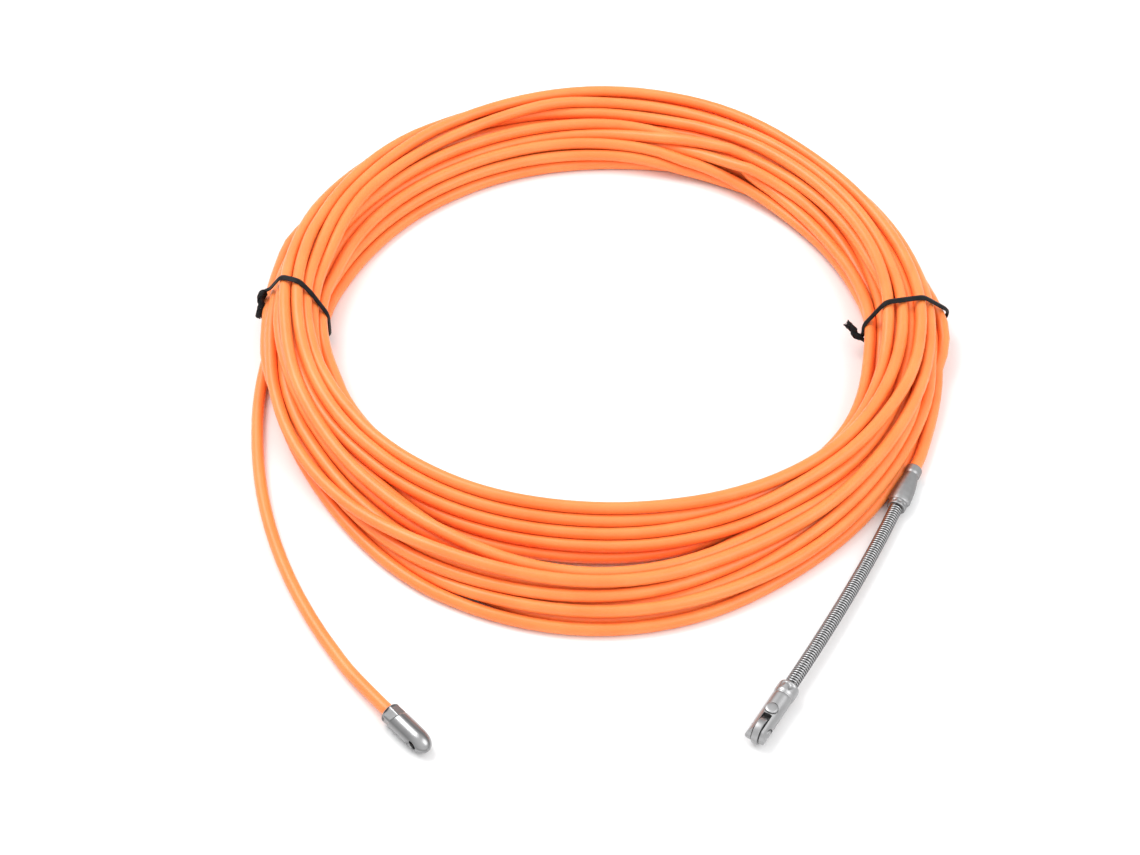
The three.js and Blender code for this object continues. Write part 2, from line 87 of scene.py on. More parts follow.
# the bundle's section at chosen angles, clockwise from the left tie: rows of (height, the strands' radii)
SECTIONS = [
    (174.5, [(2.0, [96.4, 100.4, 104.4, 108.4, 112.4]), (5.5, [98.4, 102.4, 106.4, 110.4]),
             (9.0, [96.4, 100.4, 104.4, 108.4, 112.4]), (12.5, [98.4, 102.4, 106.4, 110.4]),
             (16.0, [100.4, 104.4, 108.4]), (19.5, [102.4, 106.4])]),
    (140.0, [(2.0, [94.4, 98.5, 102.6, 106.7, 110.8, 114.4]), (5.8, [95.8]),
             (5.6, [100.2, 104.3, 108.4, 112.6]), (8.8, [98.5]), (9.2, [102.6, 106.7, 110.7, 114.8]),
             (11.6, [101.8]), (12.7, [106.3, 110.3]), (13.6, [116.4]), (15.0, [104.3]),
             (16.3, [108.3, 112.3])]),
    (112.0, [(2.0, [94.4, 98.6, 102.8, 107.0, 111.2, 115.4]), (5.8, [96.0]),
             (5.6, [100.2, 104.4, 108.6, 112.8, 117.4]), (9.0, [98.6]), (9.2, [102.8, 107.0, 111.2, 115.6]),
             (11.4, [104.8]), (9.8, [119.4]), (12.6, [113.4]), (13.6, [118.6]), (16.4, [115.6]),
             (14.4, [110.2])]),
    (90.0, [(2.0, [94.8, 99.0, 103.2, 107.4, 111.6, 115.8]), (6.1, [95.8]),
            (5.6, [101.0, 105.2, 109.4, 113.6]), (4.2, [119.6]), (9.6, [99.9]),
            (8.9, [107.4, 111.6, 116.2]), (8.2, [120.4]), (9.4, [103.8]), (11.8, [106.0]), (12.2, [120.6]),
            (16.0, [120.8]), (13.6, [115.6]), (10.9, [111.6])]),
    (45.0, [(2.4, [94.8]), (2.0, [99.2, 103.3, 107.4, 111.5, 115.0]), (6.0, [96.8]),
            (5.6, [101.3, 105.4, 109.5, 113.5]), (9.2, [99.0, 103.3, 107.4, 111.5, 115.0]),
            (12.6, [102.3, 105.9, 109.7, 113.6]), (16.2, [104.3, 108.2, 112.0])]),
    (2.0, [(2.0, [96.0, 100.0, 104.0, 108.0, 112.0]), (5.5, [94.0, 98.0, 102.0, 106.0, 110.0]),
           (5.2, [114.3]), (8.5, [112.7]), (9.6, [93.0]), (9.0, [97.0, 101.0, 105.0, 109.0]),
           (12.6, [99.6, 106.2, 112.8]), (16.0, [98.2, 102.6]), (15.2, [109.4])]),
    (-35.0, [(2.0, [93.4, 97.4, 101.4, 105.4, 109.4, 113.8]), (5.5, [95.4, 99.4, 103.4, 107.4, 111.6]),
             (9.0, [93.6, 97.4, 101.4, 105.4, 109.4]), (12.5, [95.4, 99.4, 103.4]), (12.3, [107.3]),
             (15.9, [97.2, 101.3])]),
    (-65.0, [(2.0, [92.6, 96.8, 101.0, 105.2, 109.4, 113.6, 117.6]),
             (5.5, [91.0, 95.1, 99.2, 103.3, 107.4, 111.5]), (6.4, [115.2]),
             (9.0, [89.6, 93.7, 97.8, 101.9, 106.0]), (12.4, [90.2, 94.4]), (15.4, [89.4])]),
    (-78.0, [(12.0, [85.4]), (15.9, [86.4]), (12.9, [89.1]), (10.1, [92.0]), (7.4, [94.6]), (4.4, [96.2]),
             (9.0, [88.0]), (6.1, [90.8]), (2.2, [93.0]), (4.9, [87.0]), (11.0, [108.6]), (12.4, [112.6]),
             (8.7, [115.2]), (6.2, [118.4]), (2.0, [119.0, 123.0]), (7.0, [107.4]), (8.4, [111.4]),
             (3.4, [104.6]), (2.8, [108.6]), (5.0, [111.9, 115.6])]),
    (-92.0, [(12.0, [83.6]), (15.9, [84.6]), (12.9, [87.3]), (10.2, [90.2]), (7.6, [92.9]), (4.6, [94.4]),
             (9.0, [86.2]), (6.1, [88.9]), (2.2, [91.0]), (4.9, [85.2]), (11.0, [110.0]), (12.8, [113.8]),
             (9.4, [116.6]), (6.0, [119.9]), (2.0, [120.6, 124.6]), (7.2, [109.2]), (8.6, [112.9]),
             (3.4, [106.0]), (2.4, [110.2]), (5.0, [113.4, 117.0])]),
    (-106.0, [(12.2, [84.0]), (15.9, [85.0]), (12.9, [87.8]), (10.2, [90.8]), (7.4, [93.5]), (4.4, [95.2]),
              (9.0, [86.6]), (6.1, [89.5]), (2.4, [91.8]), (4.9, [85.6]), (11.6, [107.4, 111.4]),
              (8.9, [114.8]), (6.0, [118.0]), (2.0, [118.4, 122.4]), (8.0, [106.6]), (8.6, [110.8]),
              (3.8, [104.2]), (3.2, [108.2]), (5.0, [111.6, 115.2])]),
    (-120.0, [(12.2, [86.4]), (15.9, [87.4]), (12.9, [90.2]), (10.2, [93.2]), (7.0, [96.4]), (3.6, [99.0]),
              (9.0, [89.0]), (5.8, [92.2]), (2.2, [94.8]), (4.9, [88.0]), (12.2, [104.4, 110.6]),
              (8.6, [112.6]), (5.4, [114.6]), (2.0, [115.0, 119.0]), (8.6, [101.8]), (8.8, [106.6]),
              (5.0, [102.9]), (5.0, [107.0]), (2.0, [106.9, 111.0])]),
    (-145.0, [(2.0, [93.6, 97.7, 101.8, 105.9, 110.0]), (5.6, [91.8, 95.9, 100.0, 104.1, 108.2]),
              (6.4, [112.0]), (9.1, [90.0, 94.1, 98.2, 102.3, 106.2]), (12.6, [89.6, 93.8, 98.0, 102.4]),
              (16.0, [91.4, 95.8])]),
]
# how far the bundle rolls on its way to the next section, its top going outward, in degrees
# (from the last section it goes back to the left tie, where wound_order matches the strands)
ROLL = [10, 10, 10, -15, -20, -12, -8, 0, 0, 0, 8, 20]
# strands seen crossing over the others, from (r, z) in one section to (r, z) in the next
CROSSINGS = {
    0: [((106.4, 19.5), (116.4, 13.6)), ((102.4, 19.5), (112.3, 16.3)), ((100.4, 16.0), (108.3, 16.3)),
        ((98.4, 12.5), (104.3, 15.0)), ((112.4, 9.0), (114.8, 9.2)), ((110.4, 12.5), (112.6, 5.6))],
    1: [((116.4, 13.6), (119.4, 9.8)), ((112.3, 16.3), (118.6, 13.6)), ((108.3, 16.3), (115.6, 16.4)),
        ((104.3, 15.0), (110.2, 14.4))],
    2: [((119.4, 9.8), (120.4, 8.2)), ((118.6, 13.6), (120.6, 12.2)), ((115.6, 16.4), (120.8, 16.0)),
        ((110.2, 14.4), (115.6, 13.6))],
    3: [((106.0, 11.8), (96.8, 6.0)), ((99.9, 9.6), (94.8, 2.4)), ((95.8, 6.1), (99.2, 2.0)),
        ((94.8, 2.0), (103.3, 2.0)), ((120.8, 16.0), (112.0, 16.2)), ((115.6, 13.6), (108.2, 16.2))],
    4: [((112.0, 16.2), (109.4, 15.2)), ((108.2, 16.2), (102.6, 16.0)), ((104.3, 16.2), (98.2, 16.0)),
        ((96.8, 6.0), (93.0, 9.6)), ((94.8, 2.4), (94.0, 5.5))],
    5: [((98.2, 16.0), (94.8, 12.5)), ((102.6, 16.0), (96.4, 15.9)), ((109.4, 15.2), (101.0, 15.9))],
    11: [((110.6, 12.2), (112.0, 6.4)), ((112.6, 8.6), (106.2, 9.1)), ((114.6, 5.4), (108.2, 5.6)),
         ((119.0, 2.0), (110.0, 2.0)), ((115.0, 2.0), (105.9, 2.0))],
}
# the slots, (r, z), where the tape's two tails join the bundle at their own ties
EYELET_SLOT, LEADER_SLOT = (112.4, 2.0), (112.7, 8.5)
CHOSEN = 1e4  # taken off a listed crossing's cost, so that it is always picked
KEEP_FOR_END = 0.6  # how strongly the slots near the last one are left until late


def slots(rows):
    return np.array([[r, z] for z, radii in rows for r in radii])


def nearest(table, slot):
    return int(np.argmin(((table - slot) ** 2).sum(1)))


def nearest_order(here, there, roll, crossings):
    """For each strand of one section its slot in the next, with the least movement in all beyond the roll."""
    middle = there.mean(0)
    c, d = math.cos(math.radians(roll)), math.sin(math.radians(roll))
    rolled = (here - here.mean(0)) @ np.array([[c, -d], [d, c]]) + middle
    cost = ((rolled[:, None] - there[None]) ** 2).sum(2)
    for start, end in crossings:
        cost[nearest(here, start), nearest(there, end)] -= CHOSEN
    order = [-1] * len(here)
    for a, b in sorted(np.ndindex(*cost.shape), key=lambda at: cost[at]):
        if order[a] < 0 and b not in order:
            order[a] = b
    improved = True
    while improved:
        improved = False
        for a in range(len(order)):
            for b in range(a + 1, len(order)):
                before = cost[a, order[a]] + cost[b, order[b]]
                after = cost[a, order[b]] + cost[b, order[a]]
                if after < before - 1e-9:
                    order[a], order[b] = order[b], order[a]
                    improved = True
    return order


def wound_order(arrive, tied, first, last):
    """The path through the left tie's slots, turn by turn: each strand, once round, comes into a near slot.
    arrive[s] is where a strand that left slot s comes back to."""
    count = len(tied)
    path, left = [first], set(range(count)) - {first, last}
    while left:
        here = arrive[path[-1]]
        best = min(left, key=lambda s: (((here - tied[s]) ** 2).sum()
                                        - KEEP_FOR_END * ((tied[s] - tied[last]) ** 2).sum() ** 0.5))
        path.append(best)
        left.remove(best)
    path.append(last)

    def cost(p):
        return sum(((arrive[a] - tied[b]) ** 2).sum() for a, b in zip(p[:-1], p[1:]))

    best = cost(path)
    improved = True
    while improved:
        improved = False
        for a in range(1, count - 1):
            for b in range(1, count - 1):
                if a == b:
                    continue
                moved = path[:a] + path[a + 1:]
                moved = moved[:b] + [path[a]] + moved[b:]
                swapped = list(path)
                swapped[a], swapped[b] = swapped[b], swapped[a]
                turned = path[:a] + path[a:b][::-1] + path[b:] if b > a + 1 else path
                for other in (moved, swapped, turned):
                    now = cost(other)
                    if now < best - 1e-9:
                        path, best, improved = other, now, True
    return path


def wind():
    """The strands' keys, [turned angle, r, z], in the order the tape runs from the eyelet to the leader."""
    start = EYELET_TAIL[-1][0]
    tables = [slots(rows) for _, rows in SECTIONS]
    tied = tables[0]
    to_right = [list(range(len(tied)))]
    right = [angle for angle, _ in SECTIONS].index(RIGHT_TIE)
    for a in range(right):
        step = nearest_order(tables[a], tables[a + 1], ROLL[a], CROSSINGS.get(a, []))
        to_right.append([step[s] for s in to_right[-1]])
    last = to_right[right].index(nearest(tables[right], LEADER_SLOT))
    first = nearest(tied, EYELET_SLOT)
    routes = {s: [tables[a][to_right[a][s]] for a in range(right + 1)] for s in range(len(tied))}
    # on past the right tie with one strand fewer
    going = [s for s in range(len(tied)) if s != last]
    where = np.array([routes[s][right] for s in going])
    for a in range(right + 1, len(SECTIONS)):
        step = nearest_order(where, tables[a], ROLL[a - 1], CROSSINGS.get(a - 1, []))
        where = np.array([tables[a][o] for o in step])
        for s, place in zip(going, where):
            routes[s].append(place)
    arrive = {s: routes[s][-1] for s in going}
    path = wound_order(arrive, tied, first, last)
    keys = []
    for angle, beyond, height in EYELET_TAIL[::-1]:
        keys.append([(start - angle) % 360, BUNDLE_EDGE + beyond, TAPE_R + height])
    for turn, s in enumerate(path):
        first_key = (start - LEFT_TIE) % 360 + 360 * turn
        for (angle, _), (r, z) in zip(SECTIONS, routes[s]):
            keys.append([first_key + (LEFT_TIE - angle), r, z])
            if turn == len(path) - 1 and angle == RIGHT_TIE:
                break
    for angle, beyond, height in LEADER_TAIL[1:]:
        keys.append([first_key + (LEFT_TIE - angle), BUNDLE_EDGE + beyond, TAPE_R + height])
    angle, beyond = LEADER_ENTRY
    keys.append([first_key + (LEFT_TIE - angle), BUNDLE_EDGE + beyond, FERRULE_R])
    keys = np.array(keys)
    assert (np.diff(keys[:, 0]) > 0).all()
    return start, keys


def through(keys, at):
    """A smooth curve through the keys, read at the given turned angles."""
    x, y = keys[:, 0], keys[:, 1:]
    slope = np.zeros_like(y)
    h = np.diff(x)[:, None]
    d = np.diff(y, axis=0) / h
    slope[1:-1] = (d[:-1] * h[1:] + d[1:] * h[:-1]) / (h[1:] + h[:-1])
    slope[0], slope[-1] = d[0], d[-1]
    i = np.clip(np.searchsorted(x, at, side="right") - 1, 0, len(x) - 2)
    w = h[i]
    t = (at - x[i])[:, None] / w
    return ((2 * t ** 3 - 3 * t ** 2 + 1) * y[i] + (t ** 3 - 2 * t ** 2 + t) * w * slope[i]
            + (-2 * t ** 3 + 3 * t ** 2) * y[i + 1] + (t ** 3 - t ** 2) * w * slope[i + 1])


def smoothed(a, times):
    for _ in range(times):
        inner = 0.25 * a[:-2] + 0.5 * a[1:-1] + 0.25 * a[2:]
        a = np.concatenate([a[:1], inner, a[-1:]])
    return a


ROUNDS, LAST_ROUNDS = 420, 40  # the last rounds only push apart, with nothing smoothed
# degrees: the eyelet's tail is held to this far before the left tie, and the leader's this far from its end
TIE_MARGIN, LEADER_HOLD = 3, 24
PLAN_PASSES, PUSH_PASSES, RAMP_PASSES = 7, 4, 4  # of smoothing
SPACING, PUSH = TAPE_D * 1.01, 0.45  # between settled strands, and the share of an overlap undone in a round
PLAN_PULL, STIFFNESS = 0.012, 0.12  # shares in each round of the way back to the plan, and of unbending
FAR_OFF, FAR_STEP = 1e4, 50  # for the stations past the tape's end, clear of every strand and of each other
LEAST_GAP = 0.05  # keeps two strands on one spot from dividing by zero


def settle(start, keys):
    """Strands that would lie in each other are pushed apart, smoothly along the tape."""
    count = int(keys[-1, 0] / STEP)
    turned = np.arange(count + 1) * STEP
    planned = through(keys, turned)
    rows = math.ceil(len(planned) / STATIONS)
    free = np.ones(len(planned))
    free[turned < (start - LEFT_TIE) % 360 - TIE_MARGIN] = 0
    free[keys[-1, 0] - turned < LEADER_HOLD] = 0
    ramp = smoothed(free[:, None], RAMP_PASSES)
    ramp[free == 0] = 0
    planned += ramp * (smoothed(planned, PLAN_PASSES) - planned)
    place = planned.copy()
    gone = np.full((rows * STATIONS - len(planned), 2), FAR_OFF)
    gone[:, 0] += FAR_STEP * np.arange(len(gone))
    itself = np.eye(rows, dtype=bool)[:, :, None]
    for n in range(ROUNDS):
        grid = np.concatenate([place, gone]).reshape(rows, STATIONS, 2)
        apart = grid[:, None] - grid[None]
        far = np.sqrt((apart ** 2).sum(3))
        lap = np.maximum(0, SPACING - far)
        lap[np.broadcast_to(itself, lap.shape)] = 0
        push = (apart / np.maximum(far, LEAST_GAP)[..., None] * lap[..., None]).sum(1) * PUSH
        move = push.reshape(-1, 2)[: len(place)]
        if n < ROUNDS - LAST_ROUNDS:
            move = smoothed(move, PUSH_PASSES) + PLAN_PULL * (planned - place)
            move[1:-1] += STIFFNESS * (place[:-2] - 2 * place[1:-1] + place[2:])
        place = place + move * ramp
        place[:, 1] = np.maximum(place[:, 1], TAPE_R)
    return turned, start - turned, place


def curve_through(points, spacing):
    """Catmull-Rom through the points, about one point per spacing."""
    p = np.array(points)
    p = np.concatenate([[2 * p[0] - p[1]], p, [2 * p[-1] - p[-2]]])
    out = []
    for a, b, c, d in zip(p[:-3], p[1:-2], p[2:-1], p[3:]):
        parts = max(1, round(np.linalg.norm(c - b) / spacing))
        for t in np.arange(parts) / parts:
            out.append(0.5 * (2 * b + (c - a) * t + (2 * a - 5 * b + 4 * c - d) * t ** 2
                              + (3 * b - a - 3 * c + d) * t ** 3))
    return np.array(out + [p[-2]])


def heading(degrees):
    return np.array([math.cos(math.radians(degrees)), math.sin(math.radians(degrees)), 0.0])


def round_coil(angle, r, z):
    a = np.radians(angle)
    return np.stack([COIL_CENTRE[0] + r * np.cos(a), COIL_CENTRE[1] + r * np.sin(a), z + 0 * a], -1)


def tie_lift(angle):
    """The bundle rises over each tie."""
    rise = 0 * angle
    for tie_angle in (LEFT_TIE, RIGHT_TIE):
        away = np.abs((angle - tie_angle + 180) % 360 - 180)
        bump = np.cos(math.pi / 2 * away / TIE_LIFT_SPAN) ** 2
        rise = np.maximum(rise, np.where(away < TIE_LIFT_SPAN, bump, 0))
    return rise * TIE_LIFT


start_angle, tape_keys = wind()
turned, angles, settled = settle(start_angle, tape_keys)
settled[:, 1] += tie_lift(angles)
coil_line = round_coil(angles, settled[:, 0], settled[:, 1])
eyelet_entry = round_coil(EYELET_ENTRY[0], BUNDLE_EDGE + EYELET_ENTRY[1], EYELET_R)
leader_entry = round_coil(LEADER_ENTRY[0], BUNDLE_EDGE + LEADER_ENTRY[1], FERRULE_R)
into_eyelet, into_ferrule = heading(EYELET_HEADING), heading(LEADER_HEADING)
eyelet_end = curve_through([eyelet_entry + into_eyelet * (EYELET_SOCKET - FIT), eyelet_entry,
                            eyelet_entry - into_eyelet * LEAD_IN, coil_line[0], coil_line[1]], END_SPACING)
too_near = np.linalg.norm(coil_line - leader_entry, axis=1)[-LEADER_STATIONS:] < LEADER_ROOM
coil_line = coil_line[:len(coil_line) - int(np.sum(too_near))]
leader_end = curve_through([coil_line[-1], leader_entry - into_ferrule * LEAD_IN, leader_entry,
                            leader_entry + into_ferrule * (FERRULE_SOCKET - FIT)], END_SPACING)
tape_line = np.concatenate([eyelet_end[:-1], coil_line[2:-1], leader_end])[::-1] * MM


def frames_along(line):
    """Tangents and two normals at each point, turning as little as they can."""
    t = np.gradient(line, axis=0)
    t /= np.linalg.norm(t, axis=1)[:, None]
    side = np.cross(t[0], [0, 0, 1.0])
    sides = []
    for v in t:
        side = side - v * (side @ v)
        side = side / np.linalg.norm(side)
        sides.append(side)
    sides = np.array(sides)
    return t, sides, np.cross(t, sides)


def tube(name, line, section):
    """A capped mesh swept along the line. section is one ring of (side, up) points."""
    _, side, up = frames_along(line)
    verts = line[:, None] + section[None, :, :1] * side[:, None] + section[None, :, 1:] * up[:, None]
    n, m = verts.shape[:2]
    i, j = np.meshgrid(np.arange(n - 1), np.arange(m), indexing="ij")
    k = (j + 1) % m
    quads = np.stack([i * m + j, i * m + k, (i + 1) * m + k, (i + 1) * m + j], -1).reshape(-1, 4)
    faces = [tuple(int(v) for v in q) for q in quads]
    faces.append(tuple(range(m))[::-1])
    faces.append(tuple(range((n - 1) * m, n * m)))
    return mesh_piece(name, verts.reshape(-1, 3), faces)


def mesh_piece(name, verts, faces):
    data = bpy.data.meshes.new(name)
    data.from_pydata([tuple(float(c) for c in v) for v in verts], [], faces)
    data.validate()
    data.polygons.foreach_set("use_smooth", [True] * len(data.polygons))
    piece = bpy.data.objects.new(name, data)
    bpy.context.scene.collection.objects.link(piece)
    return piece


def ring(radius, sides):
    a = np.arange(sides) * TAU / sides
    return np.stack([radius * np.cos(a), radius * np.sin(a)], -1)


tape = tube("tape", tape_line, ring(TAPE_R * MM, 16))
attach(tape, "tape")
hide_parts("tape_coil", "tape_tail_eyelet", "tape_tail_leader")


# ---------------------------------------------------------------- metal fittings (mm, local X along each one)
def placed(origin, degrees):
    return Matrix.Translation(Vector(origin) * MM) @ Matrix.Rotation(math.radians(degrees), 4, "Z")


def skin(name, xs, radius, segments, place, bore=None):
    """A closed body of revolution whose radius may vary round it: radius(x, angle) in mm.
    bore is a list of (x, radius) for a blind hole from the first end."""
    a = np.arange(segments) * TAU / segments
    outer = [[(x, radius(x, t) * math.cos(t), radius(x, t) * math.sin(t)) for t in a] for x in xs]
    inner = [[(x, r * math.cos(t), r * math.sin(t)) for t in a] for x, r in (bore or [])]
    rings = inner[::-1] + outer
    verts = [v for one in rings for v in one]
    faces = []
    for i in range(len(rings) - 1):
        for j in range(segments):
            k = (j + 1) % segments
            faces.append((i * segments + j, (i + 1) * segments + j, (i + 1) * segments + k, i * segments + k))
    faces.append(tuple(range(segments)))
    last = (len(rings) - 1) * segments
    faces.append(tuple(last + j for j in range(segments))[::-1])
    verts = [tuple(place @ (Vector(v) * MM)) for v in verts]
    piece = mesh_piece(name, verts, faces)
    return outward(piece)


def outward(piece):
    bm = bmesh.new()
    bm.from_mesh(piece.data)
    bmesh.ops.recalc_face_normals(bm, faces=bm.faces)
    bm.to_mesh(piece.data)
    bm.free()
    return piece


def cut(piece, *tools):
    for tool in tools:
        m = piece.modifiers.new("cut", "BOOLEAN")
        m.operation = "DIFFERENCE"
        m.solver = "EXACT"
        m.object = tool
    dg = bpy.context.evaluated_depsgraph_get()
    data = bpy.data.meshes.new_from_object(piece.evaluated_get(dg))
    piece.modifiers.clear()
    piece.data = data
    for tool in tools:
        bpy.data.objects.remove(tool)
    return piece


def block(lo, hi, place):
    corners = [(x, y, z) for x in (lo[0], hi[0]) for y in (lo[1], hi[1]) for z in (lo[2], hi[2])]
    faces = [(0, 1, 3, 2), (4, 6, 7, 5), (0, 4, 5, 1), (2, 3, 7, 6), (0, 2, 6, 4), (1, 5, 7, 3)]
    return outward(mesh_piece("tool", [tuple(place @ (Vector(c) * MM)) for c in corners], faces))


def pin(profile, centre, axis, place, segments=40, name="tool"):
    """A turned body about a local axis through centre. profile is (along, radius) pairs, no two of them at
    quite the same place along it, as the place finds the radius."""
    turn = Vector((1, 0, 0)).rotation_difference(Vector(axis)).to_matrix().to_4x4()
    spin = Matrix.Translation(Vector(centre) * MM) @ turn
    reach = dict(profile)
    return skin(name, [x for x, _ in profile], lambda x, _: reach[x], segments, place @ spin)


def mirrored(half):
    """A profile alike on both sides, from its half on the positive side."""
    return [(-x, r) for x, r in half[::-1]] + half


def finish_edges(piece, degrees=32, bevel=0.0):
    piece.data.polygons.foreach_set("use_smooth", [True] * len(piece.data.polygons))
    if bevel:
        m = piece.modifiers.new("edge", "BEVEL")
        m.width = bevel * MM
        m.segments = 2
        m.limit_method = "ANGLE"
        m.angle_limit = math.radians(50)
        dg = bpy.context.evaluated_depsgraph_get()
        piece.data = bpy.data.meshes.new_from_object(piece.evaluated_get(dg))
        piece.modifiers.clear()
    piece.data.set_sharp_from_angle(angle=math.radians(degrees))
    return piece


def fine(*stops):
    """Positions along a fitting: (from, to, count) runs."""
    out = []
    for a, b, n in stops:
        out += list(np.linspace(a, b, n, endpoint=False))
    return out + [stops[-1][1]]


def angle_from(t, degrees):
    """How far the angle t is past the given degrees, from -pi to pi."""
    return (t - math.radians(degrees) + math.pi) % TAU - math.pi


def flat_cut(x, t, faces):
    """How far out the pressed faces let the surface reach. Each is (from x, to x, degrees, reach, slope)."""
    reach = math.inf
    for x0, x1, turn, base, slope in faces:
        facing = math.cos(t - math.radians(turn))
        if x0 <= x <= x1 and facing > 0.3:
            reach = min(reach, (base + slope * (x - x0)) / facing)
    return reach


# eyelet tip: a bullet-nosed steel tip, pressed on the tape, with an eye across it
EYELET_LENGTH = 18.4
NOSE_FROM, EYE_X, EYE_R = 12.4, 13.8, 1.5
PRESS_EDGE, PRESS_WAVE, PRESS_FADE = 3.4, 1.0, 0.5  # where the crimp ends, its wave, and how fast it fades
# the crimp's faces as (from x, to x, degrees, reach, slope)
PRESSED = [(0.4, 3.1, 66, 2.92, 0.04), (0.4, 4.3, 118, 2.86, 0.06), (0.4, 3.8, 14, 3.02, 0.03),
           (0.4, 4.0, 186, 2.9, 0.05), (0.4, 4.2, 252, 2.9, 0.04), (0.4, 3.5, 310, 2.95, 0.05)]


def eyelet_radius(x, t):
    r = EYELET_R
    if x > NOSE_FROM:
        u = min(1.0, (x - NOSE_FROM) / (EYELET_LENGTH - NOSE_FROM))
        r = EYELET_R * max(0.02, 1 - u ** 2.3) ** 0.5
    r -= 0.28 * max(0.0, 1 - x / 0.5) ** 2
    ridge = PRESS_EDGE + PRESS_WAVE * math.sin(t + 0.6)
    if x < ridge + PRESS_FADE:
        pressed = min(r, flat_cut(min(x, 3.0), t, PRESSED))
        r += (pressed - r) * min(1.0, max(0.0, (ridge + PRESS_FADE - x) / PRESS_FADE))
    return r


at_eyelet = placed(eyelet_entry, EYELET_HEADING)
eyelet_xs = fine((0, 0.6, 4), (0.6, 5.2, 26), (5.2, NOSE_FROM, 8), (NOSE_FROM, 17.4, 16),
                 (17.4, EYELET_LENGTH, 14))
eyelet = skin("eyelet_tip_steel", eyelet_xs, eyelet_radius, 96, at_eyelet, bore=[(0.0, 2.3), (7.9, 2.3)])
eye = pin(mirrored([(2.6, EYE_R), (EYELET_R * 0.93, EYE_R + 0.5), (4.2, 3.6)]),
          (EYE_X, 0, 0), (0, 1, 0), at_eyelet, 48)
finish_edges(cut(eyelet, eye), 30)
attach(eyelet, "tape")
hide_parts("eyelet_tip")

# ferrule: a collar on the tape, a leaf-shaped body and a pressed rim round the spring
FERRULE_LENGTH = 18.4
# its outline as (x, half its width, half its height)
LEAF = [(0.0, 2.62, 2.62), (0.25, 2.78, 2.78), (2.5, 2.78, 2.78), (2.9, 2.66, 2.72), (3.4, 2.35, 2.55),
        (5.0, 2.75, 2.72), (7.5, 3.2, 2.92), (10.0, 3.5, 3.05), (12.5, 3.62, 3.05), (14.6, 3.5, 2.96),
        (15.6, 3.3, 2.86), (16.1, 2.95, 2.78), (16.6, 3.05, 2.9), (17.6, 3.1, 2.95), (18.2, 3.0, 2.9),
        (FERRULE_LENGTH, 2.8, 2.75)]
LEAF_X, LEAF_WIDE, LEAF_HIGH = zip(*LEAF)
LEAF_FROM, LEAF_TO, LEAF_DENT = 3.0, 16.0, 0.16  # the leaf's body is pressed this deep on four sides
LUGS, LUG_X, LUG_OUT = (8, 172), 15.3, 0.42
RIM_NICKS, NICK_X, NICK_DEPTH = (40, 78, 112, 150, 205, 260, 320), 17.2, 0.3


def ferrule_radius(x, t):
    wide, high = (float(np.interp(x, LEAF_X, half)) for half in (LEAF_WIDE, LEAF_HIGH))
    r = 1 / math.hypot(math.cos(t) / wide, math.sin(t) / high)
    if LEAF_FROM < x < LEAF_TO:
        mid = math.sin(math.pi * (x - LEAF_FROM) / (LEAF_TO - LEAF_FROM))
        r -= LEAF_DENT * mid * (0.5 + 0.5 * math.cos(4 * (t - math.radians(62)))) ** 2
    for turn in LUGS:
        r += LUG_OUT * math.exp(-((x - LUG_X) / 0.9) ** 2 - (angle_from(t, turn) / 0.33) ** 2)
    for turn in RIM_NICKS:
        r -= NICK_DEPTH * math.exp(-(((x - NICK_X) / 0.55) ** 4) - (angle_from(t, turn) / 0.17) ** 4)
    return r


ferrule_xs = fine((0, 0.6, 6), (0.6, 2.4, 4), (2.4, 3.6, 10), (3.6, 15.0, 30), (15.0, FERRULE_LENGTH, 34))
ferrule = skin("ferrule_steel", ferrule_xs, ferrule_radius, 96, placed(leader_entry, LEADER_HEADING),
               bore=[(0.0, 2.28), (8.4, 2.28)])
finish_edges(ferrule, 38)
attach(ferrule, "tape")
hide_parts("leader_ferrule")

# guide spring and its steel core: both bend between the ferrule and the head
SPRING_D, WIRE_D, TURNS, SPRING_SPAN, SPRING_SEAT = 4.55, 0.8, 92, 87.6, 3.6
SPRING_HEADING, HEAD_HEADING, WHEEL_R = -118, -121, 4.1
SPRING_INSET = SPRING_SEAT - FIT - WIRE_D / 2  # from a seat's mouth to the spring's end
DRAWN_WIRE_R, TURN_POINTS = 0.33, 18  # thinner than WIRE_D, so that the gaps between the turns show
CORE_LAY, CORE_TURNS, CORE_STRAND_R, CORE_SEAT = 0.3, 14, 0.28, 4.8
SPRING_FROM = leader_entry + into_ferrule * (FERRULE_LENGTH - SPRING_INSET)
SPRING_TO = SPRING_FROM + heading(SPRING_HEADING) * SPRING_SPAN
SPRING_TO[2] = WHEEL_R


def leader_line(count):
    """The spring's axis, which leaves the ferrule and meets the head along their own headings."""
    third = np.linalg.norm(SPRING_TO - SPRING_FROM) / 3
    a, d = SPRING_FROM, SPRING_TO
    b, c = a + heading(LEADER_HEADING) * third, d - heading(HEAD_HEADING) * third
    t = np.linspace(0, 1, count)[:, None]
    return (1 - t) ** 3 * a + 3 * (1 - t) ** 2 * t * b + 3 * (1 - t) * t ** 2 * c + t ** 3 * d


def helix(line, radius, turns, phase=0.0):
    """The line wound round itself at a distance, evenly by its own points."""
    _, side, up = frames_along(line)
    turn = np.linspace(0, turns * TAU, len(line))[:, None] + phase
    return line + radius * (np.cos(turn) * side + np.sin(turn) * up)


